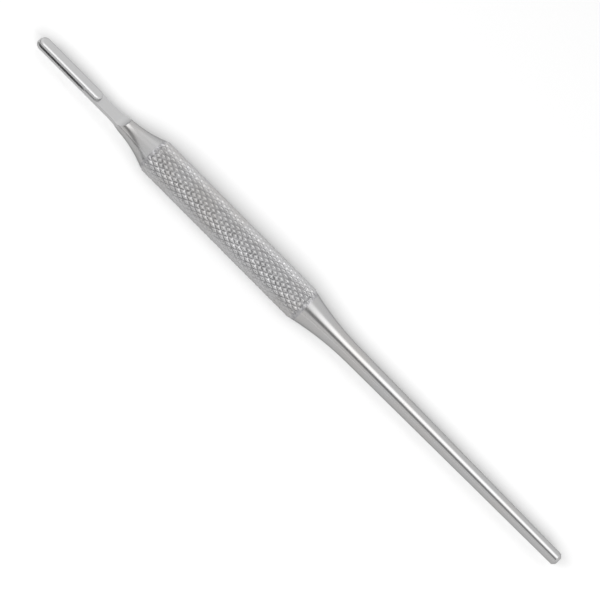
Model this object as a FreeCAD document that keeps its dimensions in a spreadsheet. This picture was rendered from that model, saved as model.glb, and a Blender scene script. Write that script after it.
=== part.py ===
import FreeCAD, Part

# Scalpel handle with a round knurled grip, one piece of stainless bar.
# The bar is turned to a slim tail, a grip and a flared neck. Its nose is milled
# to a thin plate with a raised, grooved boss that a blade slides onto.
# X runs from the tip of the blade fitting to the tail, and +Z is the side of the boss.
# The origin is below mid-length, level with the lowest line of the grip.

import math
import os
from collections import namedtuple

import Sketcher
from FreeCAD import Vector

# Millimetres, degrees and plain counts. Lengths run along the handle from the tip
# or from the feature before. Heights and the back's depth are from the turning axis.
SIZES = {
    "overall_length": 160.0,
    "boss_length": 18.7,
    "boss_width": 2.6,
    "boss_top": 1.22,
    "boss_edge_radius": 0.35,
    "seat_length": 5.7,
    "seat_height": 0.34,
    "back_depth": 0.56,
    "fitting_width": 3.1,
    "fitting_sides": 22.6,
    "face_runout_radius": 2.5,
    "side_runout_radius": 12.0,
    "groove_length": 13.0,
    "groove_floor": 0.06,
    "groove_height": 0.44,
    "groove_depth": 0.45,
    "groove_cutter_radius": 3.0,
    "neck_diameter": 3.76,
    "flare_length": 11.1,
    "shoulder_diameter": 8.3,
    "grip_length": 45.7,
    "grip_diameter": 8.6,
    "grip_edge_diameter": 8.1,
    "grip_edge_angle": 30.0,
    "knurl_starts": 21,
    "knurl_pitch": 2.12,
    "knurl_depth": 0.5,
    "taper_length": 16.3,
    "shaft_diameter": 4.4,
    "tail_diameter": 3.1,
    "tail_face_diameter": 1.8,
    "tail_chamfer": 0.65,
}

# Stations along the handle, from the tip.
FITTING_END = "(Sizes.boss_length + Sizes.seat_length)"
GRIP_START = f"({FITTING_END} + Sizes.flare_length)"
GRIP_END = f"({GRIP_START} + Sizes.grip_length)"
SHAFT_START = f"({GRIP_END} + Sizes.taper_length)"
CHAMFER_START = "(Sizes.overall_length - Sizes.tail_chamfer)"

NECK_RADIUS = "(Sizes.neck_diameter / 2)"
SHOULDER_RADIUS = "(Sizes.shoulder_diameter / 2)"
SHAFT_RADIUS = "(Sizes.shaft_diameter / 2)"
GRIP_RADIUS = "(Sizes.grip_diameter / 2)"
VALLEY_RADIUS = f"({GRIP_RADIUS} - Sizes.knurl_depth)"
CORE_RADIUS = f"({VALLEY_RADIUS} - Sizes.knurl_depth)"
BOSS_HALF = "(Sizes.boss_width / 2)"
FITTING_HALF = "(Sizes.fitting_width / 2)"

# A cutter leaves the metal this far out.
CLEAR = "Sizes.grip_diameter"

# A sketch's own axes and origin point, as its constraints number them.
X_AXIS = -1
Y_AXIS = -2
ORIGIN_POINT = (-1, 1)

# A curved edge between two corners. bulge is 1 for an arc that swells to the left
# of the way the outline runs, and -1 for one that swells to the right.
Arc = namedtuple("Arc", "radius bulge")


def add_sizes(doc):
    """Write the driving dimensions into a sheet, one alias to a cell."""
    sheet = doc.addObject("Spreadsheet::Sheet", "Sizes")
    for row, (name, value) in enumerate(SIZES.items(), start=1):
        sheet.set(f"A{row}", name)
        sheet.set(f"B{row}", str(value))
        sheet.setAlias(f"B{row}", name)
    doc.recompute()


def number(doc, formula):
    """The present value of a formula of the sheet."""
    return float(doc.Sizes.evalExpression(formula))


def tangent_arc(run, rise):
    """Radius of an arc that leaves a level line and has climbed by rise after run."""
    return f"(({run}) ^ 2 + ({rise}) ^ 2) / (2 * ({rise}))"


def new_body(doc, name):
    return doc.addObject("PartDesign::Body", name)


def new_sketch(body, name, role, height=None):
    """A sketch on an origin plane of its body, lifted by a formula if one is given."""
    sketch = body.newObject("Sketcher::SketchObject", name)
    plane = next(f for f in body.Origin.OriginFeatures if f.Role == role)
    sketch.AttachmentSupport = [(plane, "")]
    sketch.MapMode = "FlatFace"
    if height:
        sketch.setExpression("AttachmentOffset.Base.z", height)
    return sketch


def arc_through(start, end, radius, bulge):
    """The shorter arc of a radius between two points."""
    chord = end - start
    sagitta = radius - math.sqrt(radius**2 - (chord.Length / 2) ** 2)
    outward = Vector(-chord.y, chord.x, 0).normalize() * bulge
    return Part.Arc(start, (start + end) / 2 + outward * sagitta, end)


def bind(sketch, kind, name, formula, *references):
    """Add a dimension to a sketch and tie it to a formula."""
    value = number(sketch.Document, formula)
    index = sketch.addConstraint(Sketcher.Constraint(kind, *references, value))
    sketch.renameConstraint(index, name)
    sketch.setExpression(f"Constraints.{name}", formula)


def draw(sketch, *outline):
    """Draw a closed outline of corners, each a pair of formulas, and Arcs between them."""
    doc = sketch.Document
    corners = [item for item in outline if not isinstance(item, Arc)]
    arcs = {}
    for spot, item in enumerate(outline):
        if isinstance(item, Arc):
            arcs[spot - len(arcs) - 1] = item
    points = [Vector(number(doc, across), number(doc, up), 0) for across, up in corners]
    count = len(corners)
    first = sketch.GeometryCount
    for step, start in enumerate(points):
        end = points[(step + 1) % count]
        if step in arcs:
            radius = number(doc, arcs[step].radius)
            edge = arc_through(start, end, radius, arcs[step].bulge)
        else:
            edge = Part.LineSegment(start, end)
        sketch.addGeometry(edge)
    ends = [edge_ends(sketch, first + step, start) for step, start in enumerate(points)]
    for step, (across, up) in enumerate(corners):
        edge = first + step
        begin, finish = ends[step]
        following = (step + 1) % count
        joint = (edge, finish, first + following, ends[following][0])
        sketch.addConstraint(Sketcher.Constraint("Coincident", *joint))
        place(sketch, "DistanceX", Y_AXIS, f"across_{edge}", across, edge, begin)
        place(sketch, "DistanceY", X_AXIS, f"up_{edge}", up, edge, begin)
        if step in arcs:
            bind(sketch, "Radius", f"radius_{edge}", arcs[step].radius, edge)


def place(sketch, kind, axis, name, formula, edge, begin):
    """Set one coordinate of an edge's first point, on the axis itself where it is nought."""
    if formula == "0":
        sketch.addConstraint(Sketcher.Constraint("PointOnObject", edge, begin, axis))
    else:
        bind(sketch, kind, name, formula, *ORIGIN_POINT, edge, begin)


def edge_ends(sketch, index, start):
    """Numbers of an edge's first and last point. An arc is stored anticlockwise."""
    if (sketch.getPoint(index, 1) - start).Length < 1e-6:
        return 1, 2
    return 2, 1


def revolve(body, sketch):
    """Turn an outline once round the X axis."""
    feature = body.newObject("PartDesign::Revolution", f"{sketch.Name}_turned")
    feature.Profile = sketch
    feature.ReferenceAxis = (sketch, ["H_Axis"])
    feature.Angle = 360
    return feature


def mill_through(body, sketch):
    """Mill an outline right through the handle."""
    feature = body.newObject("PartDesign::Pocket", f"{sketch.Name}_cut")
    feature.Profile = sketch
    feature.Type = "ThroughAll"
    feature.SideType = "Symmetric"
    return feature


def mill_up(body, sketch, height):
    """Mill a plan view's outline from its sketch upwards by a formula."""
    feature = body.newObject("PartDesign::Pocket", f"{sketch.Name}_cut")
    feature.Profile = sketch
    feature.Reversed = True
    feature.setExpression("Length", height)
    return feature


def turn_blank(body):
    """The bar as it leaves the lathe: nose, flared neck, grip core, taper, shaft and tail."""
    flare = tangent_arc("Sizes.flare_length", f"{SHOULDER_RADIUS} - {NECK_RADIUS}")
    taper = tangent_arc("Sizes.taper_length", f"{SHOULDER_RADIUS} - {SHAFT_RADIUS}")
    profile = new_sketch(body, "profile", "XZ_Plane")
    draw(
        profile,
        ("0", "0"),
        ("0", NECK_RADIUS),
        (FITTING_END, NECK_RADIUS),
        Arc(flare, -1),
        (GRIP_START, SHOULDER_RADIUS),
        (GRIP_START, CORE_RADIUS),
        (GRIP_END, CORE_RADIUS),
        (GRIP_END, SHOULDER_RADIUS),
        Arc(taper, -1),
        (SHAFT_START, SHAFT_RADIUS),
        (CHAMFER_START, "Sizes.tail_diameter / 2"),
        ("Sizes.overall_length", "Sizes.tail_face_diameter / 2"),
        ("Sizes.overall_length", "0"),
    )
    return revolve(body, profile)


def mill_faces(body):
    """The blade's seat and the flat back of the nose, seen from the side."""
    runout = "Sizes.face_runout_radius"
    seat = new_sketch(body, "seat_face", "XZ_Plane")
    draw(
        seat,
        (f"-{CLEAR}", "Sizes.seat_height"),
        (FITTING_END, "Sizes.seat_height"),
        Arc(runout, -1),
        (f"{FITTING_END} + {runout}", f"Sizes.seat_height + {runout}"),
        (f"{FITTING_END} + {runout}", CLEAR),
        (f"-{CLEAR}", CLEAR),
    )
    mill_through(body, seat)
    back = new_sketch(body, "back_face", "XZ_Plane")
    draw(
        back,
        (f"-{CLEAR}", "-Sizes.back_depth"),
        (FITTING_END, "-Sizes.back_depth"),
        Arc(runout, 1),
        (f"{FITTING_END} + {runout}", f"-Sizes.back_depth - {runout}"),
        (f"{FITTING_END} + {runout}", f"-{CLEAR}"),
        (f"-{CLEAR}", f"-{CLEAR}"),
    )
    mill_through(body, back)


def mill_sides(body):
    """The plate's round tip and parallel sides, which run out into the neck."""
    runout = "Sizes.side_runout_radius"
    far = f"({FITTING_HALF} + {runout})"
    sides = new_sketch(body, "sides", "XY_Plane")
    draw(
        sides,
        ("0", "0"),
        Arc(FITTING_HALF, 1),
        (FITTING_HALF, FITTING_HALF),
        ("Sizes.fitting_sides", FITTING_HALF),
        Arc(runout, -1),
        (f"Sizes.fitting_sides + {runout}", far),
        (f"-{CLEAR}", far),
        (f"-{CLEAR}", f"-{far}"),
        (f"Sizes.fitting_sides + {runout}", f"-{far}"),
        Arc(runout, -1),
        ("Sizes.fitting_sides", f"-{FITTING_HALF}"),
        (FITTING_HALF, f"-{FITTING_HALF}"),
        Arc(FITTING_HALF, 1),
    )
    mill_through(body, sides)


def raise_boss(body):
    """The boss that holds the blade: straight sides, full round ends, soft top edge."""
    tip = f"({FITTING_HALF} - {BOSS_HALF})"
    rear = "Sizes.boss_length"
    plan = new_sketch(body, "boss", "XY_Plane")
    draw(
        plan,
        (tip, "0"),
        Arc(BOSS_HALF, 1),
        (f"{tip} + {BOSS_HALF}", BOSS_HALF),
        (f"{rear} - {BOSS_HALF}", BOSS_HALF),
        Arc(BOSS_HALF, 1),
        (rear, "0"),
        Arc(BOSS_HALF, 1),
        (f"{rear} - {BOSS_HALF}", f"-{BOSS_HALF}"),
        (f"{tip} + {BOSS_HALF}", f"-{BOSS_HALF}"),
        Arc(BOSS_HALF, 1),
    )
    boss = body.newObject("PartDesign::Pad", "boss_pad")
    boss.Profile = plan
    boss.setExpression("Length", "Sizes.boss_top")


def mill_grooves(body):
    """The groove along each side of the boss, where the edges of a blade's slot run."""
    cutter = "Sizes.groove_cutter_radius"
    inner = f"({BOSS_HALF} - Sizes.groove_depth)"
    for side, sign in (("left", ""), ("right", "-")):
        plan = new_sketch(body, f"{side}_groove", "XY_Plane", "Sizes.groove_floor")
        bulge = -1 if sign else 1
        draw(
            plan,
            (f"-{CLEAR}", f"{sign}{inner}"),
            ("Sizes.groove_length", f"{sign}{inner}"),
            Arc(cutter, -bulge),
            (f"Sizes.groove_length + {cutter}", f"{sign}({inner} + {cutter})"),
            (f"-{CLEAR}", f"{sign}({inner} + {cutter})"),
        )
        mill_up(body, plan, "Sizes.groove_height")


def soften_boss(body):
    """Round the top edge of the boss, all the way along."""
    boss = body.Tip
    top = number(body.Document, "Sizes.boss_top")
    level = [all(abs(v.Z - top) < 1e-6 for v in edge.Vertexes) for edge in boss.Shape.Edges]
    names = [f"Edge{index}" for index, is_top in enumerate(level, start=1) if is_top]
    rounding = body.newObject("PartDesign::Fillet", "boss_rounding")
    rounding.Base = (boss, names)
    rounding.setExpression("Radius", "Sizes.boss_edge_radius")


def polygon_face(*corners):
    return Part.Face(Part.makePolygon([*corners, corners[0]]))


class Knurl:
    """Rows of pyramids left between two crossing sets of helical grooves."""

    def __init__(self, doc):
        self.peak = number(doc, GRIP_RADIUS)
        self.valley = number(doc, VALLEY_RADIUS)
        self.starts = round(number(doc, "Sizes.knurl_starts"))
        self.half_turn = math.pi / self.starts
        self.row = number(doc, "Sizes.knurl_pitch / 2")
        length = number(doc, "Sizes.grip_length")
        self.rows = math.ceil(length / self.row) + 2
        self.begin = number(doc, GRIP_START) - (self.rows * self.row - length) / 2

    def point(self, row, radius, angle):
        x = self.begin + row * self.row
        return Vector(x, radius * math.sin(angle), radius * math.cos(angle))

    def faces(self):
        """Four facets to a pyramid, whose corners lie where the grooves cross."""
        facets = []
        rims = {0: [], self.rows: []}
        for row in range(self.rows + 1):
            ends = [end for end in (row - 1, row + 1) if 0 <= end <= self.rows]
            for start in range(self.starts):
                angle = (2 * start + row % 2) * self.half_turn
                peak = self.point(row, self.peak, angle)
                flanks = (angle - self.half_turn, angle + self.half_turn)
                sides = [self.point(row, self.valley, flank) for flank in flanks]
                for end in ends:
                    tip = self.point(end, self.valley, angle)
                    facets += [polygon_face(peak, side, tip) for side in sides]
                if row in rims:
                    rims[row] += [sides[0], peak]
        return facets + [polygon_face(*rim) for rim in rims.values()]

    def solid(self):
        shell = Part.Shell(self.faces())
        shell.sewShape()
        solid = Part.Solid(shell)
        if solid.Volume < 0:
            solid.reverse()
        return solid


def add_knurl(doc):
    """The knurled cylinder, with both ends of the grip chamfered through its pyramids."""
    teeth = doc.addObject("Part::Feature", "knurl_teeth")
    teeth.Shape = Knurl(doc).solid()
    envelope = new_body(doc, "grip_envelope")
    slope = "tan(Sizes.grip_edge_angle)"
    inset = "(2 * Sizes.knurl_depth)"
    edge = "(Sizes.grip_edge_diameter / 2)"
    low = f"({edge} - {inset} * {slope})"
    high = f"({edge} + 2 * {inset} * {slope})"
    limits = new_sketch(envelope, "limits", "XZ_Plane")
    draw(
        limits,
        (f"{GRIP_START} - {inset}", "0"),
        (f"{GRIP_START} - {inset}", low),
        (f"{GRIP_START} + 2 * {inset}", high),
        (f"{GRIP_END} - 2 * {inset}", high),
        (f"{GRIP_END} + {inset}", low),
        (f"{GRIP_END} + {inset}", "0"),
    )
    revolve(envelope, limits)
    grip = doc.addObject("Part::Common", "knurled_grip")
    grip.Base = teeth
    grip.Tool = envelope
    grip.Refine = False
    return grip


def add_handle(doc):
    """Join the milled blank and its grip, and set the handle down on its grip."""
    blank = new_body(doc, "blank")
    turn_blank(blank)
    mill_faces(blank)
    mill_sides(blank)
    raise_boss(blank)
    mill_grooves(blank)
    doc.recompute()
    soften_boss(blank)
    handle = doc.addObject("Part::Fuse", "handle")
    handle.Base = blank
    handle.Tool = add_knurl(doc)
    handle.Label = "handle"
    handle.Refine = False
    handle.setExpression("Placement.Base.x", "-Sizes.overall_length / 2")
    handle.setExpression("Placement.Base.z", "Sizes.grip_diameter / 2")
    return handle


def check(doc, pieces):
    """Stop before anything is written if a feature failed or a piece is not one sound solid."""
    for item in doc.Objects:
        if "Invalid" in item.State or "Error" in item.State:
            raise RuntimeError(f"{item.Name} failed: {item.State}")
    for piece in pieces:
        shape = piece.Shape
        if shape.isNull() or not shape.isValid() or len(shape.Solids) != 1:
            raise RuntimeError(f"{piece.Label} is not one sound solid")


def main():
    doc = FreeCAD.newDocument("scalpel_handle")
    add_sizes(doc)
    pieces = [add_handle(doc)]
    doc.recompute()
    check(doc, pieces)
    os.makedirs("parts", exist_ok=True)
    for piece in pieces:
        piece.Shape.exportStep(f"parts/{piece.Label}.step")
        print(piece.Label, f"{piece.Shape.Volume:.1f} mm3")


main()
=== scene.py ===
import math

import bmesh
import bpy
from bpy.props import FloatProperty, FloatVectorProperty, IntProperty, PointerProperty
from mathutils import Matrix, Vector, noise


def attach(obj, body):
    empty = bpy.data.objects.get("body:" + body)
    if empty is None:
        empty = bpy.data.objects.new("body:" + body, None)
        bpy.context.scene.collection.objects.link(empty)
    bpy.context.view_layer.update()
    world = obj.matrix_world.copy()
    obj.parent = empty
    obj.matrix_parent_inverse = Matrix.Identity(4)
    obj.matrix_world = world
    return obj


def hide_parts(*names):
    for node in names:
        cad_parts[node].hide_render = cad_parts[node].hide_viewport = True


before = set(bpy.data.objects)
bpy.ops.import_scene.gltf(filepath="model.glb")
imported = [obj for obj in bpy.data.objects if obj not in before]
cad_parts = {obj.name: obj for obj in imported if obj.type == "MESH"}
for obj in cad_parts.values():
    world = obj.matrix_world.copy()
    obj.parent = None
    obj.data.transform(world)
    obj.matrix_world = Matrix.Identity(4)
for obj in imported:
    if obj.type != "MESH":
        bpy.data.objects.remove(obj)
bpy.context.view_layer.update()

bl_info = {
    "name": "Scalpel handle",
    "version": (1, 0, 0),
    "blender": (4, 5, 0),
    "location": "3D View > Sidebar > Scalpel",
    "description": "Builds a round scalpel handle with a knurled grip and a milled blade fitting",
    "category": "Object",
}

# The meshes are worked in millimetres: x is the distance from the tip, and the turning
# axis lies on y = z = 0. set_down then lays them in the frame of the handle, in metres.
MILLIMETRE = 0.001

# Blocks that cut start and end this far outside the metal.
CLEAR = 8.6

# Places that are less than this apart are taken as the same.
NEAR = 0.01

# Slope of the chamfers at the ends of the grip.
GRIP_CHAMFER = math.tan(math.radians(30))

# Mesh steps of the turned arcs and of the straight shaft, and of what the cutters sweep:
# the runouts and ends, the long side runouts, and the boss's half-round ends.
TURNED_STEPS = 48
SHAFT_STEPS = 16
MILLED_STEPS = 24
SIDE_STEPS = 60
BOSS_STEPS = 32

# Where a groove of the knurl has reached its floor, as a share of a row.
GROOVE_FLOOR = 0.93

# The grip's mesh is finer from its run-outs to this far inside it, in these steps.
RUNOUT_INSET = 0.6
FRONT_STEPS = 18
REAR_STEPS = 25

# Starting number of the noise that makes the knurl's points stray.
KNURL_SEED = 21

# Width and height of the picture.
FRAME_PIXELS = 600


def distance(name, description, millimetres):
    return FloatProperty(
        name=name,
        description=description,
        default=millimetres / 1000,
        min=0.0,
        precision=5,
        subtype="DISTANCE",
        unit="LENGTH",
    )


def colour(name, description, value):
    return FloatVectorProperty(
        name=name, description=description, default=value, min=0.0, max=1.0, subtype="COLOR"
    )


def level(name, description, value, top=1.0):
    return FloatProperty(
        name=name, description=description, default=value, min=0.0, max=top, subtype="FACTOR"
    )


class SCALPEL_PG_sizes(bpy.types.PropertyGroup):
    """Sizes of the handle. Lengths run along it from the tip or from the feature before."""

    overall_length: distance("Overall length", "From the tip to the tail", 160.0)
    boss_length: distance("Boss length", "From the tip to the rear of the boss", 18.7)
    boss_width: distance("Boss width", "Width of the boss that the blade's slot fits", 2.6)
    boss_top: distance("Boss top", "Height of the boss above the axis", 1.22)
    boss_edge: distance("Boss edge", "Width of the sloped edge round the boss's top", 0.45)
    boss_fall: distance("Boss fall", "How far that edge falls", 0.22)
    seat_length: distance("Seat length", "Flat behind the boss, for the blade's heel", 5.7)
    seat_height: distance("Seat height", "Height of the seat above the axis", 0.34)
    back_depth: distance("Back depth", "Depth of the plate's back below the axis", 0.56)
    fitting_width: distance("Fitting width", "Width of the plate", 3.1)
    fitting_sides: distance("Fitting sides", "Length of the plate's parallel sides", 22.6)
    face_runout: distance("Face runout", "Radius where the seat runs out into the neck", 2.5)
    side_runout: distance("Side runout", "Radius where the sides run out into the neck", 12.0)
    groove_length: distance("Groove length", "Straight length of the boss's side grooves", 13.0)
    groove_floor: distance("Groove floor", "Height of the groove's floor above the axis", 0.06)
    groove_height: distance("Groove height", "Height of the groove's opening", 0.44)
    groove_depth: distance("Groove depth", "How far the groove goes into the boss", 0.45)
    groove_cutter: distance("Groove cutter", "Radius of the cutter at the groove's end", 3.0)
    neck: distance("Neck", "Diameter of the neck behind the plate", 3.76)
    flare_length: distance("Flare length", "From the neck to the front shoulder", 11.1)
    shoulder: distance("Shoulder", "Diameter of the shoulders beside the grip", 8.3)
    grip_length: distance("Grip length", "Length of the knurled grip", 45.7)
    grip: distance("Grip", "Diameter over the knurl", 8.6)
    knurl_pitch: distance("Knurl pitch", "Distance along the grip from point to point", 2.12)
    knurl_depth: distance("Knurl depth", "Depth of the knurl's grooves", 0.5)
    front_runout: distance("Front runout", "How far the knurl runs out over the flare", 0.8)
    rear_runout: distance("Rear runout", "How far the knurl runs out over the taper", 1.1)
    taper_length: distance("Taper length", "From the rear shoulder to the shaft", 16.3)
    shaft: distance("Shaft", "Diameter at the shaft's thick end", 4.4)
    tail: distance("Tail", "Diameter at the shaft's thin end", 3.1)
    tail_face: distance("Tail face", "Diameter of the tail's flat end", 1.8)
    tail_chamfer: distance("Tail chamfer", "Length of the chamfer at the tail", 0.65)
    broken_edge: distance("Broken edge", "Rounding of the machined edges", 0.04)
    knurl_starts: IntProperty(
        name="Knurl starts", description="Points in one row round the grip", default=21, min=8
    )
    knurl_wander: level("Knurl wander", "How far its points stray, as a share of a row", 0.25)
    knurl_land: level("Knurl land", "Flat top left on its points, as a share of a row", 0.3)
    knurl_steps: IntProperty(
        name="Knurl steps", description="Mesh steps from a point to a groove", default=5, min=2
    )
    turning_steps: IntProperty(
        name="Turning steps", description="Mesh steps round a turned surface", default=192, min=32
    )


class SCALPEL_PG_finish(bpy.types.PropertyGroup):
    """Colours and surface finish of the steel, and the tones of the studio."""

    steel: colour("Steel", "Colour of the clean steel", (0.44, 0.44, 0.442))
    warm_steel: colour(
        "Warm steel", "Tint of the steel where it was handled", (0.445, 0.436, 0.43)
    )
    # The milled colour is lighter than the clean steel: a painted highlight for the soft light
    # overhead that the rougher flats catch.
    milled_steel: colour("Milled steel", "Colour of the milled faces", (0.50, 0.50, 0.502))
    knurled_steel: colour("Knurled steel", "Colour of the knurl's points", (0.476, 0.474, 0.478))
    # The groove colour is painted shade that darkens the knurl towards its groove floors.
    painted_groove_shade: colour("Groove steel", "Tone deep in the knurl", (0.382, 0.38, 0.39))
    edge_tint: level("Edge tint", "Brightness of the steel seen at a glancing angle", 0.5)
    polish: level("Polish", "Roughness of the polished neck and shaft", 0.17)
    milling: level("Milling", "Roughness of the milled faces", 0.33)
    knurling: level("Knurling", "Roughness of the knurl", 0.26)
    floor: colour("Floor", "Colour of the studio floor", (0.86, 0.86, 0.86))
    # The apron's grey is painted shade for the handle's lower side, seen only in reflections.
    apron: colour("Apron", "Colour of the strip in front, in reflections", (0.77, 0.77, 0.77))
    flag: colour("Flag", "Colour of the dark strip, in reflections", (0.02, 0.02, 0.02))
    room: level("Room", "Brightness of the room round the handle", 1.05, 4.0)
    ceiling_light: level("Ceiling light", "What the soft light overhead adds to it", 1.34, 8.0)
    rear_light: level("Rear light", "What the wall behind the neck adds to it", 0.2, 8.0)
    front_card: level("Front card", "How much the card in front darkens it", 0.68)
    floor_share: level("Floor share", "Share of the room's light that reaches the floor", 0.45)
    key_light: FloatProperty(
        name="Key light",
        description="Power of the lamp in front",
        default=32.0,
        min=0.0,
        unit="POWER",
    )


class Millimetres:
    """The sizes of the scene in millimetres."""

    def __init__(self, context):
        self.sizes = context.scene.scalpel_sizes

    def __getattr__(self, name):
        return getattr(self.sizes, name) * 1000

    def fitting_end(self):
        return self.boss_length + self.seat_length

    def grip_start(self):
        return self.fitting_end() + self.flare_length

    def grip_end(self):
        return self.grip_start() + self.grip_length

    def shaft_start(self):
        return self.grip_end() + self.taper_length

    def flare_arc(self):
        """Radius of the arc from the neck up to the front shoulder."""
        rise = (self.shoulder - self.neck) / 2
        return (self.flare_length**2 + rise**2) / (2 * rise)

    def taper_arc(self):
        """Radius of the arc from the rear shoulder down to the shaft."""
        rise = (self.shoulder - self.shaft) / 2
        return (self.taper_length**2 + rise**2) / (2 * rise)

    def turned(self, x):
        """Radius that the handle is turned to at a station, before it is knurled."""
        start, end = self.grip_start(), self.grip_end()
        if x < start:
            arc, along, foot = self.flare_arc(), x - self.fitting_end(), self.neck / 2
        elif x > end:
            arc, along, foot = self.taper_arc(), self.shaft_start() - x, self.shaft / 2
        else:
            chamfer = self.shoulder / 2 + GRIP_CHAMFER * min(x - start, end - x)
            return min(self.grip / 2, chamfer)
        return foot + arc - math.sqrt(arc**2 - along**2)


# Mesh helpers.


def line_to(bm, vert, x, y, z=0.0):
    """Draw a straight edge from a vertex and return its far vertex."""
    far = bmesh.ops.extrude_vert_indiv(bm, verts=[vert])["verts"][0]
    far.co = Vector((x, y, z))
    return far


def arc_to(bm, vert, centre, axis, degrees, steps):
    """Draw an arc from a vertex round a centre and return its far vertex."""
    swept = bmesh.ops.spin(
        bm, geom=[vert], cent=centre, axis=axis, angle=math.radians(degrees), steps=steps
    )
    return next(item for item in swept["geom_last"] if isinstance(item, bmesh.types.BMVert))


def turn(bm, steps):
    """Turn a profile once round the x axis and close its poles."""
    bmesh.ops.spin(
        bm,
        geom=bm.verts[:] + bm.edges[:],
        cent=(0, 0, 0),
        axis=(1, 0, 0),
        angle=math.tau,
        steps=steps,
        use_merge=True,
    )
    bmesh.ops.remove_doubles(bm, verts=bm.verts, dist=1e-4)
    bmesh.ops.recalc_face_normals(bm, faces=bm.faces)


def raise_wall(bm, rise):
    """Fill a closed outline and extrude it into a solid block."""
    face = bmesh.ops.contextual_create(bm, geom=bm.edges[:])["faces"]
    walls = bmesh.ops.extrude_face_region(bm, geom=face)["geom"]
    top = [item for item in walls if isinstance(item, bmesh.types.BMVert)]
    bmesh.ops.translate(bm, verts=top, vec=rise)
    bmesh.ops.recalc_face_normals(bm, faces=bm.faces)


def round_edges(bm, edges, width, segments):
    """Bevel edges to a width."""
    bmesh.ops.bevel(
        bm,
        geom=edges,
        offset=width,
        offset_type="OFFSET",
        segments=segments,
        profile=0.5,
        affect="EDGES",
        clamp_overlap=False,
        material=-1,
    )


def corner_edges(bm, degrees):
    """Edges whose two faces turn by more than an angle."""
    limit = math.radians(degrees)
    return [edge for edge in bm.edges if edge.is_manifold and edge.calc_face_angle() > limit]


def level_edges(bm, degrees, height):
    """Corner edges that lie level above a height."""
    found = []
    for edge in corner_edges(bm, degrees):
        first, second = (vert.co.z for vert in edge.verts)
        if min(first, second) > height and abs(first - second) < NEAR:
            found.append(edge)
    return found


def smooth(bm, degrees):
    """Shade the faces smooth, apart from corners and changes of finish."""
    for face in bm.faces:
        face.smooth = True
    for edge in corner_edges(bm, degrees):
        edge.smooth = False
    for edge in bm.edges:
        if edge.is_manifold:
            first, second = edge.link_faces
            if first.material_index != second.material_index:
                edge.smooth = False


def set_down(context, bm, name, materials):
    """Lay a mesh on the floor at its place in the handle and make it a piece."""
    mm = Millimetres(context)
    axis_point = Vector((mm.overall_length / 2, 0, -mm.grip / 2))
    bmesh.ops.translate(bm, verts=bm.verts, vec=-axis_point)
    bmesh.ops.scale(bm, verts=bm.verts, vec=(MILLIMETRE,) * 3)
    mesh = bpy.data.meshes.new(name)
    bm.to_mesh(mesh)
    bm.free()
    for material in materials:
        mesh.materials.append(material)
    piece = bpy.data.objects.new(name, mesh)
    context.scene.collection.objects.link(piece)
    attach(piece, "root")
    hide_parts("handle")
    weighted = piece.modifiers.new("even_shading", "WEIGHTED_NORMAL")
    weighted.keep_sharp = True
    return piece


# Blocks that the milling cutters sweep, and the boss.


def face_cutter(mm, height, side):
    """Clears the nose above (side 1) or below (side -1) a height and runs out in an arc."""
    bm = bmesh.new()
    runout = mm.face_runout
    end = mm.fitting_end()
    vert = first = bm.verts.new((-CLEAR, -CLEAR, side * CLEAR))
    vert = line_to(bm, vert, -CLEAR, -CLEAR, height)
    vert = line_to(bm, vert, end, -CLEAR, height)
    centre = (end, -CLEAR, height + side * runout)
    vert = arc_to(bm, vert, centre, (0, side, 0), -90, MILLED_STEPS)
    vert = line_to(bm, vert, end + runout, -CLEAR, side * CLEAR)
    bm.edges.new((vert, first))
    raise_wall(bm, (0, 2 * CLEAR, 0))
    return bm


def side_cutter(mm, side):
    """Clears one side of the plate, round the tip and out into the neck."""
    bm = bmesh.new()
    half = mm.fitting_width / 2
    runout = mm.side_runout
    far = half + runout
    vert = first = bm.verts.new((-CLEAR, 0, -CLEAR))
    vert = line_to(bm, vert, 0, 0, -CLEAR)
    vert = arc_to(bm, vert, (half, 0, -CLEAR), (0, 0, -side), 90, MILLED_STEPS)
    vert = line_to(bm, vert, mm.fitting_sides, side * half, -CLEAR)
    centre = (mm.fitting_sides, side * far, -CLEAR)
    vert = arc_to(bm, vert, centre, (0, 0, side), 90, SIDE_STEPS)
    vert = line_to(bm, vert, -CLEAR, side * far, -CLEAR)
    bm.edges.new((vert, first))
    raise_wall(bm, (0, 0, 2 * CLEAR))
    return bm


def groove_cutter(mm, side):
    """Clears the groove along one side of the boss."""
    bm = bmesh.new()
    inner = mm.boss_width / 2 - mm.groove_depth
    far = inner + mm.groove_cutter
    floor = mm.groove_floor
    vert = first = bm.verts.new((-CLEAR, side * inner, floor))
    vert = line_to(bm, vert, mm.groove_length, side * inner, floor)
    centre = (mm.groove_length, side * far, floor)
    vert = arc_to(bm, vert, centre, (0, 0, side), 90, MILLED_STEPS)
    vert = line_to(bm, vert, -CLEAR, side * far, floor)
    bm.edges.new((vert, first))
    raise_wall(bm, (0, 0, mm.groove_height))
    return bm


def boss_block(mm):
    """The boss: straight sides, full round ends and a gently sloped top edge."""
    bm = bmesh.new()
    half = mm.boss_width / 2
    tip = mm.fitting_width / 2
    rear = mm.boss_length - half
    vert = first = bm.verts.new((tip, half, 0))
    vert = arc_to(bm, vert, (tip, 0, 0), (0, 0, 1), 180, BOSS_STEPS)
    vert = line_to(bm, vert, rear, -half)
    vert = arc_to(bm, vert, (rear, 0, 0), (0, 0, 1), 180, BOSS_STEPS)
    bm.edges.new((vert, first))
    wall = mm.boss_top - mm.boss_fall
    raise_wall(bm, (0, 0, wall + mm.boss_edge))
    round_edges(bm, level_edges(bm, 60, wall), mm.boss_edge, 1)
    crown = [vert for vert in bm.verts if vert.co.z > wall]
    flatter = (1, 1, mm.boss_fall / mm.boss_edge)
    bmesh.ops.scale(bm, verts=crown, vec=flatter, space=Matrix.Translation((0, 0, -wall)))
    round_edges(bm, level_edges(bm, 15, wall - NEAR), mm.boss_edge / 4, 4)
    return bm


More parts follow.
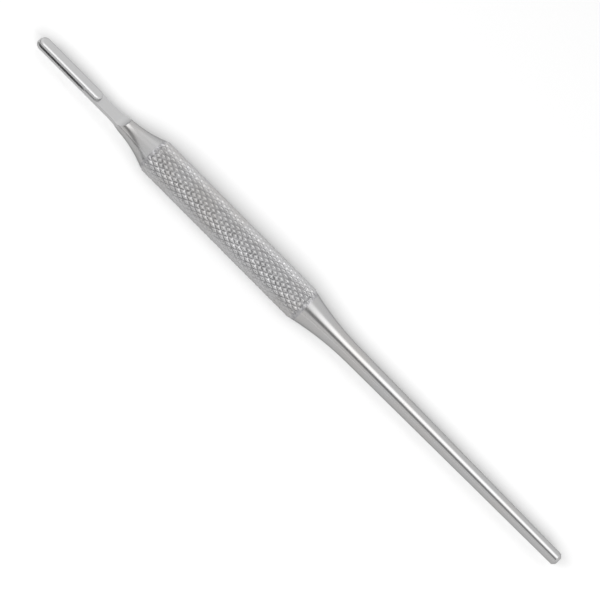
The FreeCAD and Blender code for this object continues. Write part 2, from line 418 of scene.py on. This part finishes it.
def loose_object(context, bm, name, finish):
    """A passing object for the milling, all of one finish."""
    for face in bm.faces:
        face.material_index = finish
    mesh = bpy.data.meshes.new(name)
    bm.to_mesh(mesh)
    bm.free()
    made = bpy.data.objects.new(name, mesh)
    context.scene.collection.objects.link(made)
    return made


def mill(context, blank, steps, materials):
    """Cut blocks from a blank, or join them to it, and return the finished mesh."""
    tools = []
    for name, operation, bm in steps:
        tool = loose_object(context, bm, name, 1)
        cut = blank.modifiers.new(name, "BOOLEAN")
        cut.operation = operation
        cut.solver = "EXACT"
        cut.material_mode = "INDEX"
        cut.object = tool
        tools.append(tool)
    for item in (blank, *tools):
        for material in materials:
            item.data.materials.append(material)
    graph = context.evaluated_depsgraph_get()
    mesh = bpy.data.meshes.new_from_object(blank.evaluated_get(graph))
    bm = bmesh.new()
    bm.from_mesh(mesh)
    bpy.data.meshes.remove(mesh)
    for item in (blank, *tools):
        bpy.data.meshes.remove(item.data)
    if not bm.faces or any(not edge.is_manifold for edge in bm.edges):
        raise RuntimeError("the milled fitting isn't a closed solid")
    return bm


# Shader helpers.


def add_node(tree, kind, inputs=None, **settings):
    """Add a node, with each input either linked from a socket or set to a value."""
    node = tree.nodes.new(kind)
    for name, value in settings.items():
        setattr(node, name, value)
    for key, value in (inputs or {}).items():
        if isinstance(value, bpy.types.NodeSocket):
            tree.links.new(value, node.inputs[key])
        else:
            node.inputs[key].default_value = value
    return node


def add_group(tree, group, inputs):
    """Place a node group in a material."""
    return add_node(tree, "ShaderNodeGroup", inputs, node_tree=group)


def math_node(tree, operation, *values):
    """The result of a sum of sockets and numbers."""
    return add_node(
        tree, "ShaderNodeMath", dict(enumerate(values)), operation=operation
    ).outputs[0]


def ramp(tree, value, low, high, start=0.0, end=1.0, kind="SMOOTHSTEP"):
    """Carry a value from one range to another, clamped at both ends."""
    inputs = {"Value": value, "From Min": low, "From Max": high, "To Min": start, "To Max": end}
    return add_node(tree, "ShaderNodeMapRange", inputs, interpolation_type=kind).outputs["Result"]


def between(tree, value, rise, fall):
    """A mask of 1 between two soft edges, each given by where it starts and ends."""
    up = ramp(tree, value, *rise)
    return math_node(tree, "MULTIPLY", up, ramp(tree, value, *fall, 1.0, 0.0))


def mix_colours(tree, factor, first, second):
    """A colour that goes from the first to the second with a factor."""
    inputs = {0: factor, 6: first, 7: second}
    return add_node(tree, "ShaderNodeMix", inputs, data_type="RGBA").outputs[2]


def new_group(name, inputs, outputs):
    """An empty node group with named sockets, its input node and its output node."""
    group = bpy.data.node_groups.new(name, "ShaderNodeTree")
    for socket, kind in inputs:
        group.interface.new_socket(socket, in_out="INPUT", socket_type=f"NodeSocket{kind}")
    for socket, kind in outputs:
        group.interface.new_socket(socket, in_out="OUTPUT", socket_type=f"NodeSocket{kind}")
    return group, group.nodes.new("NodeGroupInput"), group.nodes.new("NodeGroupOutput")


def cutter_marks():
    """Fine lines that a tool leaves. The vector's x runs across the lines."""
    name = "Cutter marks"
    if name in bpy.data.node_groups:
        return bpy.data.node_groups[name]
    inputs = (("Vector", "Vector"), ("Spacing", "Float"), ("Roughness", "Float"),
              ("Spread", "Float"))
    group, given, result = new_group(name, inputs, (("Height", "Float"), ("Roughness", "Float")))
    lines = add_node(
        group,
        "ShaderNodeTexNoise",
        {"Vector": given.outputs["Vector"], "Scale": given.outputs["Spacing"], "Detail": 3.0},
    ).outputs["Fac"]
    coarse = math_node(group, "MULTIPLY", given.outputs["Spacing"], 0.11)
    bands = add_node(
        group,
        "ShaderNodeTexNoise",
        {"Vector": given.outputs["Vector"], "Scale": coarse, "Detail": 2.0},
    ).outputs["Fac"]
    both = math_node(group, "MULTIPLY_ADD", bands, 0.6, math_node(group, "MULTIPLY", lines, 0.4))
    change = math_node(group, "MULTIPLY", math_node(group, "SUBTRACT", both, 0.5),
                       given.outputs["Spread"])
    group.links.new(lines, result.inputs["Height"])
    group.links.new(math_node(group, "ADD", given.outputs["Roughness"], change),
                    result.inputs["Roughness"])
    return group


def handled_steel():
    """Faint clouds of tint and dulling where a steel surface was handled and cleaned."""
    name = "Handled steel"
    if name in bpy.data.node_groups:
        return bpy.data.node_groups[name]
    inputs = (("Vector", "Vector"), ("Clean", "Color"), ("Handled", "Color"),
              ("Roughness", "Float"))
    group, given, result = new_group(name, inputs, (("Color", "Color"), ("Roughness", "Float")))
    clouds = add_node(
        group,
        "ShaderNodeTexNoise",
        {"Vector": given.outputs["Vector"], "Scale": 90.0, "Detail": 4.0, "Roughness": 0.6},
    ).outputs["Fac"]
    cloudy = ramp(group, clouds, 0.38, 0.68)
    specks = add_node(
        group,
        "ShaderNodeTexNoise",
        {"Vector": given.outputs["Vector"], "Scale": 1400.0, "Detail": 2.0},
    ).outputs["Fac"]
    specked = ramp(group, specks, 0.66, 0.78)
    tint = mix_colours(group, cloudy, given.outputs["Clean"], given.outputs["Handled"])
    soiled = math_node(group, "MULTIPLY", specked, 0.12)
    dimmed = mix_colours(group, soiled, tint, (0.30, 0.29, 0.28, 1.0))
    rougher = math_node(group, "MULTIPLY_ADD", cloudy, 0.035, given.outputs["Roughness"])
    group.links.new(dimmed, result.inputs["Color"])
    group.links.new(math_node(group, "MULTIPLY_ADD", specked, 0.08, rougher),
                    result.inputs["Roughness"])
    return group


def steel_material(context, name, colours, stretch, spacing, roughness, spread, depth):
    """Steel with cutter marks of one direction and light handling."""
    finish = context.scene.scalpel_finish
    clean, touched = colours
    material = bpy.data.materials.new(name)
    material.use_nodes = True
    tree = material.node_tree
    tree.nodes.clear()
    place = add_node(tree, "ShaderNodeTexCoord").outputs["Object"]
    axis_height = context.scene.scalpel_sizes.grip / 2
    centred = add_node(
        tree, "ShaderNodeMapping", {"Vector": place, "Location": (0, 0, -axis_height)}
    ).outputs[0]
    along = add_node(tree, "ShaderNodeMapping", {"Vector": centred, "Scale": stretch}).outputs[0]
    marks = add_group(
        tree,
        cutter_marks(),
        {"Vector": along, "Spacing": spacing, "Roughness": roughness, "Spread": spread},
    )
    handled = add_group(
        tree,
        handled_steel(),
        {
            "Vector": centred,
            "Clean": (*clean, 1.0),
            "Handled": (*touched, 1.0),
            "Roughness": marks.outputs["Roughness"],
        },
    )
    bump = add_node(
        tree,
        "ShaderNodeBump",
        {"Height": marks.outputs["Height"], "Strength": 1.0, "Distance": depth},
    )
    shader = add_node(
        tree,
        "ShaderNodeBsdfPrincipled",
        {
            "Base Color": handled.outputs["Color"],
            "Roughness": handled.outputs["Roughness"],
            "Metallic": 1.0,
            "Specular Tint": (finish.edge_tint,) * 3 + (1.0,),
            "Normal": bump.outputs[0],
        },
    )
    output = add_node(tree, "ShaderNodeOutputMaterial", {"Surface": shader.outputs[0]})
    output.is_active_output = True
    return material, centred, handled, shader


def polished_steel(context):
    """Turned and polished: faint rings round the axis."""
    name = "Polished turned steel"
    if name not in bpy.data.materials:
        finish = context.scene.scalpel_finish
        colours = finish.steel, finish.warm_steel
        steel_material(
            context, name, colours, (1.0, 0.05, 0.05), 9000.0, finish.polish, 0.06, 2e-7
        )
    return bpy.data.materials[name]


def milled_steel(context):
    """Milled: fine lines along the plate."""
    name = "Milled steel"
    if name not in bpy.data.materials:
        finish = context.scene.scalpel_finish
        # Its lighter colour is a painted highlight, standing in for the overhead light that the
        # rough flats catch.
        colours = finish.milled_steel, finish.milled_steel
        steel_material(
            context, name, colours, (0.04, 1.0, 1.0), 7000.0, finish.milling, 0.10, 3e-7
        )
    return bpy.data.materials[name]


def knurled_steel(context):
    """Knurled: the points in their own colour, the grooves rougher and darker with painted shade.
    """
    name = "Knurled steel"
    if name in bpy.data.materials:
        return bpy.data.materials[name]
    finish = context.scene.scalpel_finish
    sizes = context.scene.scalpel_sizes
    material, centred, handled, shader = steel_material(
        context, name, (finish.knurled_steel, finish.warm_steel), (1.0, 1.0, 1.0), 4000.0,
        finish.knurling, 0.10, 4e-7,
    )
    tree = material.node_tree
    parts = add_node(tree, "ShaderNodeSeparateXYZ", {"Vector": centred}).outputs
    across = math_node(tree, "MULTIPLY", parts["Y"], parts["Y"])
    radius = math_node(
        tree, "SQRT", math_node(tree, "MULTIPLY_ADD", parts["Z"], parts["Z"], across)
    )
    top = sizes.grip / 2
    # Towards the groove floors the colour fades to the painted groove shade, and the roughness
    # rises.
    height = ramp(tree, radius, top - sizes.knurl_depth, top - 0.2 * sizes.knurl_depth)
    groove_shade_colour = mix_colours(tree, height, (*finish.painted_groove_shade, 1.0), handled.outputs["Color"])
    dull = ramp(tree, height, 0.0, 1.0, 0.10, 0.0, "LINEAR")
    rough = math_node(tree, "ADD", handled.outputs["Roughness"], dull)
    tree.links.new(groove_shade_colour, shader.inputs["Base Color"])
    tree.links.new(rough, shader.inputs["Roughness"])
    return material


class SCALPEL_OT_blade_fitting(bpy.types.Operator):
    """Turn the flared neck and mill the blade fitting out of its nose"""

    bl_idname = "scalpel.blade_fitting"
    bl_label = "Blade fitting and neck"

    def execute(self, context):
        mm = Millimetres(context)
        steps = context.scene.scalpel_sizes.turning_steps
        neck, radius = mm.neck / 2, mm.flare_arc()
        end, start = mm.fitting_end(), mm.grip_start() - mm.front_runout
        sweep = math.degrees(math.asin((start - end) / radius))
        bm = bmesh.new()
        vert = bm.verts.new((0, 0, 0))
        vert = line_to(bm, vert, 0, 0, neck)
        vert = line_to(bm, vert, end - 1, 0, neck)
        vert = line_to(bm, vert, end, 0, neck)
        vert = arc_to(bm, vert, (end, 0, neck + radius), (0, 1, 0), -sweep, TURNED_STEPS)
        if (vert.co - Vector((start, 0, mm.turned(start)))).length > NEAR:
            raise RuntimeError(f"the flare ends at {vert.co[:]}")
        line_to(bm, vert, start, 0, 0)
        turn(bm, steps)
        blank = loose_object(context, bm, "neck_blank", 0)
        finishes = [polished_steel(context), milled_steel(context)]
        milling = [
            ("seat", "DIFFERENCE", face_cutter(mm, mm.seat_height, 1)),
            ("back", "DIFFERENCE", face_cutter(mm, -mm.back_depth, -1)),
            ("left_side", "DIFFERENCE", side_cutter(mm, 1)),
            ("right_side", "DIFFERENCE", side_cutter(mm, -1)),
            ("boss", "UNION", boss_block(mm)),
            ("left_groove", "DIFFERENCE", groove_cutter(mm, 1)),
            ("right_groove", "DIFFERENCE", groove_cutter(mm, -1)),
        ]
        bm = mill(context, blank, milling, finishes)
        # The cuts leave the flats in bits.
        bmesh.ops.dissolve_limit(
            bm,
            angle_limit=math.radians(0.05),
            verts=bm.verts,
            edges=[e for e in bm.edges if all(f.material_index == 1 for f in e.link_faces)],
            use_dissolve_boundaries=False,
        )
        burrs = [
            edge
            for edge in corner_edges(bm, 40)
            if edge.is_convex
            and all(f.material_index == 1 for v in edge.verts for f in v.link_faces)
        ]
        round_edges(bm, burrs, mm.broken_edge, 2)
        smooth(bm, 32)
        set_down(context, bm, "blade_fitting", finishes)
        return {"FINISHED"}


class Knurl:
    """Points in rows half a pitch apart, left between two crossing sets of grooves."""

    def __init__(self, context):
        self.sizes = context.scene.scalpel_sizes
        self.mm = mm = Millimetres(context)
        self.front = mm.grip_start() - mm.front_runout
        self.rear = mm.grip_end() + mm.rear_runout
        self.row = mm.knurl_pitch / 2
        self.rows = math.ceil(mm.grip_length / self.row) + 2
        self.begin = mm.grip_start() - (self.rows * self.row - mm.grip_length) / 2
        self.half_turn = math.pi / self.sizes.knurl_starts

    def stations(self):
        """Stations of the mesh along the grip, from front to rear."""
        front, rear, steps = self.front, self.rear, self.sizes.knurl_steps
        first = self.mm.grip_start() + RUNOUT_INSET
        last = self.mm.grip_end() - RUNOUT_INSET
        even = [self.begin + self.row * step / steps for step in range(self.rows * steps + 1)]
        return (
            [front + (first - front) * step / FRONT_STEPS for step in range(FRONT_STEPS)]
            + [x for x in even if first <= x <= last]
            + [rear - (rear - last) * step / REAR_STEPS for step in reversed(range(REAR_STEPS))]
        )

    def fall(self, x, angle):
        """How far the nearer groove has fallen at a place, from the land to its floor."""
        along, around = (x - self.begin) / self.row, angle / self.half_turn
        grooves = (along + around) / 2, (along - around) / 2
        falls = [2 * abs(place - round(place)) for place in grooves]
        return min(max(*falls, self.sizes.knurl_land), GROOVE_FLOOR) - self.sizes.knurl_land

    def cut(self, bm):
        """Cut the grooves into the turned grip. Points stray, and grooves fade at the ends."""
        mm, front, rear = self.mm, self.front, self.rear
        noise.seed_set(KNURL_SEED)
        for vert in bm.verts:
            x, y, z = vert.co
            if math.hypot(y, z) < NEAR:
                continue
            angle = math.atan2(y, z)
            share = min(1.0, (x - front) / mm.front_runout, (rear - x) / mm.rear_runout)
            stray = noise.noise_vector(vert.co / mm.knurl_pitch) * self.sizes.knurl_wander
            depth = self.fall(x, angle) + abs(stray.z) * 0.5
            radius = mm.turned(x) - share * mm.knurl_depth * depth
            x += stray.x * self.row * min(x - front, rear - x, 1.0)
            angle += stray.y * self.half_turn
            vert.co = x, radius * math.sin(angle), radius * math.cos(angle)

    def split(self, bm):
        """Split the mesh along the ridges, which slant the other way in every other cell."""
        for parity, method in ((0, "FIXED"), (1, "ALTERNATE")):
            cells = []
            for face in bm.faces:
                if len(face.verts) != 4:
                    continue
                centre = face.calc_center_median()
                angle = math.atan2(centre.y, centre.z) % math.tau
                along = math.floor((centre.x - self.begin) / self.row)
                around = math.floor(angle / self.half_turn)
                if (along + around) % 2 == parity:
                    cells.append(face)
            bmesh.ops.triangulate(bm, faces=cells, quad_method=method)


class SCALPEL_OT_grip(bpy.types.Operator):
    """Turn the grip and cut its diamond knurl, which runs out over the shoulders"""

    bl_idname = "scalpel.grip"
    bl_label = "Knurled grip"

    def execute(self, context):
        knurl = Knurl(context)
        bm = bmesh.new()
        vert = bm.verts.new((knurl.front, 0, 0))
        for x in knurl.stations():
            vert = line_to(bm, vert, x, 0, knurl.mm.grip / 2)
        line_to(bm, vert, knurl.rear, 0, 0)
        turn(bm, 2 * knurl.sizes.knurl_starts * knurl.sizes.knurl_steps)
        knurl.cut(bm)
        knurl.split(bm)
        smooth(bm, 50)
        set_down(context, bm, "knurled_grip", [knurled_steel(context)])
        return {"FINISHED"}


class SCALPEL_OT_shaft(bpy.types.Operator):
    """Turn the rear taper, the shaft and the tail"""

    bl_idname = "scalpel.shaft"
    bl_label = "Tapered shaft"

    def execute(self, context):
        mm = Millimetres(context)
        steps = context.scene.scalpel_sizes.turning_steps
        shaft, radius = mm.shaft / 2, mm.taper_arc()
        start, end = mm.grip_end() + mm.rear_runout, mm.shaft_start()
        sweep = math.degrees(math.asin((end - start) / radius))
        bm = bmesh.new()
        vert = bm.verts.new((start, 0, 0))
        vert = line_to(bm, vert, start, 0, mm.turned(start))
        vert = arc_to(bm, vert, (end, 0, shaft + radius), (0, 1, 0), -sweep, TURNED_STEPS)
        if (vert.co - Vector((end, 0, shaft))).length > NEAR:
            raise RuntimeError(f"the taper ends at {vert.co[:]}")
        chamfer = mm.overall_length - mm.tail_chamfer
        for step in range(1, SHAFT_STEPS + 1):
            part = step / SHAFT_STEPS
            x = end + (chamfer - end) * part
            vert = line_to(bm, vert, x, 0, shaft + (mm.tail / 2 - shaft) * part)
        vert = line_to(bm, vert, mm.overall_length, 0, mm.tail_face / 2)
        line_to(bm, vert, mm.overall_length, 0, 0)
        turn(bm, steps)
        rims = [e for e in corner_edges(bm, 30) if e.verts[0].co.x > end]
        round_edges(bm, rims, mm.broken_edge, 3)
        smooth(bm, 32)
        set_down(context, bm, "tapered_shaft", [polished_steel(context)])
        return {"FINISHED"}


class SCALPEL_OT_stage(bpy.types.Operator):
    """Lay the floor, light the room and aim the camera"""

    bl_idname = "scalpel.stage"
    bl_label = "Studio"

    def execute(self, context):
        finish = context.scene.scalpel_finish
        context.scene.view_settings.view_transform = "Standard"
        lay_floor(context, finish)
        lay_flag(context, finish)
        lay_apron(context, finish)
        light_room(context, finish)
        aim_camera(context)
        return {"FINISHED"}


def stage_object(context, bm, name, tone):
    """Make a matt object of a mesh that belongs to the studio."""
    mesh = bpy.data.meshes.new(name)
    bm.to_mesh(mesh)
    bm.free()
    material = bpy.data.materials.new(f"Matt {name}")
    material.use_nodes = True
    tree = material.node_tree
    tree.nodes.clear()
    matt = add_node(tree, "ShaderNodeBsdfDiffuse", {"Color": (*tone, 1.0)}).outputs[0]
    add_node(tree, "ShaderNodeOutputMaterial", {"Surface": matt})
    mesh.materials.append(material)
    item = bpy.data.objects.new(name, mesh)
    context.scene.collection.objects.link(item)
    return item


def lay_floor(context, finish):
    bm = bmesh.new()
    bmesh.ops.create_grid(bm, x_segments=1, y_segments=1, size=12.0)
    stage_object(context, bm, "floor", finish.floor)


def lay_flag(context, finish):
    """A dark strip that only reflections see. It draws the dark line along the flare."""
    # The middle of the strip and half its width, and the direction of its width.
    path = (
        (-48.9, -7.8, 0.14), (-51.3, -10.7, 0.34), (-58.5, -22.3, 1.0), (-103.0, -105.6, 5.0),
    )
    across = 0.87, -0.5
    lift = 0.2
    bm = bmesh.new()
    edge = bm.edges.new([bm.verts.new(), bm.verts.new()])
    ends = edge.verts
    for step, (x, y, half) in enumerate(path):
        if step:
            swept = bmesh.ops.extrude_edge_only(bm, edges=[edge])["geom"]
            edge = next(item for item in swept if isinstance(item, bmesh.types.BMEdge))
            ends = [item for item in swept if isinstance(item, bmesh.types.BMVert)]
        for vert, aside in zip(ends, (-half, half)):
            vert.co = x + aside * across[0], y + aside * across[1], lift
    bmesh.ops.scale(bm, verts=bm.verts, vec=(MILLIMETRE,) * 3)
    leave_to_reflections(stage_object(context, bm, "flag", finish.flag))


def lay_apron(context, finish):
    """A grey strip along the front that only reflections see: painted shade that darkens what the
    handle's lower side reflects, in place of the floor's shade near the handle.
    """
    half_length, half_width = 0.12, 0.032
    forward, lift = 0.028, 0.0001
    bm = bmesh.new()
    bmesh.ops.create_grid(bm, x_segments=1, y_segments=1, size=1.0)
    bmesh.ops.scale(bm, verts=bm.verts, vec=(half_length, half_width, 1.0))
    bmesh.ops.translate(bm, verts=bm.verts, vec=(0.0, -forward, lift))
    leave_to_reflections(stage_object(context, bm, "apron", finish.apron))


def leave_to_reflections(item):
    item.visible_camera = item.visible_diffuse = item.visible_shadow = False


def light_room(context, finish):
    """A plain room with a long soft light overhead and a dark card in front.

    height is an angle in degrees: 0 is level in front, 90 overhead and 180 level behind.
    x runs from -1 beyond the tip to 1 beyond the tail.
    """
    world = bpy.data.worlds.new("Studio room")
    context.scene.world = world
    world.use_nodes = True
    tree = world.node_tree
    tree.nodes.clear()
    direction = add_node(tree, "ShaderNodeTexCoord").outputs["Generated"]
    x, y, z = add_node(tree, "ShaderNodeSeparateXYZ", {"Vector": direction}).outputs
    angle = math_node(tree, "ARCTAN2", z, math_node(tree, "MULTIPLY", y, -1.0))
    height = math_node(tree, "DEGREES", angle)
    overhead = between(tree, height, (52, 72), (84, 112))
    ends = math_node(
        tree, "MULTIPLY", ramp(tree, x, -0.30, -0.22, 0.1), ramp(tree, x, 0.15, 0.62, 1.0, 0.0)
    )
    side = ramp(tree, x, 0.5, 0.65, 0.0, 0.4)
    overhead = math_node(tree, "MULTIPLY", overhead, math_node(tree, "ADD", ends, side))
    behind = between(tree, height, (95, 112), (130, 150))
    behind = math_node(tree, "MULTIPLY", behind, ramp(tree, x, -0.35, -0.2, 1.0, 0.0))
    # The card is level, and towards the tip it bends down and gets wider.
    towards_tip = math_node(tree, "MINIMUM", math_node(tree, "ADD", x, 0.18), 0.0)
    squared = math_node(tree, "MULTIPLY", towards_tip, towards_tip)
    bend = math_node(tree, "MULTIPLY_ADD", squared, 2000.0, 400.0)
    unbent = math_node(tree, "MULTIPLY_ADD", squared, bend, height)
    widening = math_node(tree, "MULTIPLY_ADD", towards_tip, -3.5, 1.0)
    offset = math_node(tree, "DIVIDE", math_node(tree, "SUBTRACT", unbent, 41.5), widening)
    card = between(tree, offset, (-16.5, -6.5), (8.5, 16.5))
    card = math_node(tree, "MULTIPLY", card, ramp(tree, x, 0.46, 0.56, 1.0, 0.0))
    glow = math_node(tree, "MULTIPLY_ADD", overhead, finish.ceiling_light, finish.room)
    glow = math_node(tree, "MULTIPLY_ADD", behind, finish.rear_light, glow)
    dark = math_node(tree, "MULTIPLY", card, finish.front_card)
    glow = math_node(tree, "MULTIPLY", glow, math_node(tree, "SUBTRACT", 1.0, dark))
    glow = math_node(tree, "MULTIPLY", glow, ramp(tree, height, 0.0, 30.0, 0.92, 1.0))
    shaded = add_node(tree, "ShaderNodeLightPath").outputs["Is Diffuse Ray"]
    share = math_node(tree, "MULTIPLY_ADD", shaded, finish.floor_share - 1.0, 1.0)
    glow = math_node(tree, "MULTIPLY", glow, share)
    sky = add_node(tree, "ShaderNodeBackground", {"Color": (1, 1, 1, 1), "Strength": glow})
    add_node(tree, "ShaderNodeOutputWorld", {"Surface": sky.outputs[0]})
    key = bpy.data.lights.new("key_light", "AREA")
    key.shape = "RECTANGLE"
    key.size, key.size_y = 1.8, 0.6
    key.energy = finish.key_light
    lamp = bpy.data.objects.new("key_light", key)
    lamp.location = (0.0, -1.2, 1.0)
    aim = Vector((0, 0, 0)) - lamp.location
    lamp.rotation_euler = aim.to_track_quat("-Z", "Y").to_euler()
    lamp.visible_glossy = False
    context.scene.collection.objects.link(lamp)


def aim_camera(context):
    """Look down on the handle from in front, with its tail to the lower right.

    Its middle lies a pixel or so left of and below the middle of the picture.
    """
    elevation, roll = math.radians(48.0), math.radians(45.16)
    pixel = 0.2175 * MILLIMETRE
    left, below = 1.2, 0.3
    camera = bpy.data.cameras.new("camera")
    camera.sensor_width = 36.0
    camera.lens = 300.0
    back = Vector((0, -math.cos(elevation), math.sin(elevation)))
    along = Vector((1, 0, 0))
    up = back.cross(along)
    right = along * math.cos(roll) + up * math.sin(roll)
    top = up * math.cos(roll) - along * math.sin(roll)
    middle = Vector((0, 0, context.scene.scalpel_sizes.grip / 2))
    target = middle + (right * left + top * below) * pixel
    away = FRAME_PIXELS * pixel * camera.lens / camera.sensor_width
    turned = Matrix((right, top, back)).transposed().to_4x4()
    viewer = bpy.data.objects.new("camera", camera)
    viewer.matrix_world = Matrix.Translation(target + back * away) @ turned
    camera.clip_end = 100.0
    context.scene.collection.objects.link(viewer)
    context.scene.camera = viewer


class SCALPEL_PT_panel(bpy.types.Panel):
    """The steps in their order, with the sizes and the finish"""

    bl_label = "Scalpel handle"
    bl_idname = "SCALPEL_PT_panel"
    bl_space_type = "VIEW_3D"
    bl_region_type = "UI"
    bl_category = "Scalpel"

    def draw(self, context):
        for operator in OPERATORS:
            self.layout.operator(operator.bl_idname)
        for group in (context.scene.scalpel_sizes, context.scene.scalpel_finish):
            column = self.layout.column(align=True)
            for name in group.__annotations__:
                column.prop(group, name)


OPERATORS = (
    SCALPEL_OT_blade_fitting,
    SCALPEL_OT_grip,
    SCALPEL_OT_shaft,
    SCALPEL_OT_stage,
)
CLASSES = (SCALPEL_PG_sizes, SCALPEL_PG_finish, *OPERATORS, SCALPEL_PT_panel)


def register():
    for cls in CLASSES:
        bpy.utils.register_class(cls)
    bpy.types.Scene.scalpel_sizes = PointerProperty(type=SCALPEL_PG_sizes)
    bpy.types.Scene.scalpel_finish = PointerProperty(type=SCALPEL_PG_finish)


def unregister():
    del bpy.types.Scene.scalpel_finish
    del bpy.types.Scene.scalpel_sizes
    for cls in reversed(CLASSES):
        bpy.utils.unregister_class(cls)


def main():
    register()
    bpy.ops.scalpel.blade_fitting()
    bpy.ops.scalpel.grip()
    bpy.ops.scalpel.shaft()
    bpy.ops.scalpel.stage()


if __name__ == "__main__":
    main()
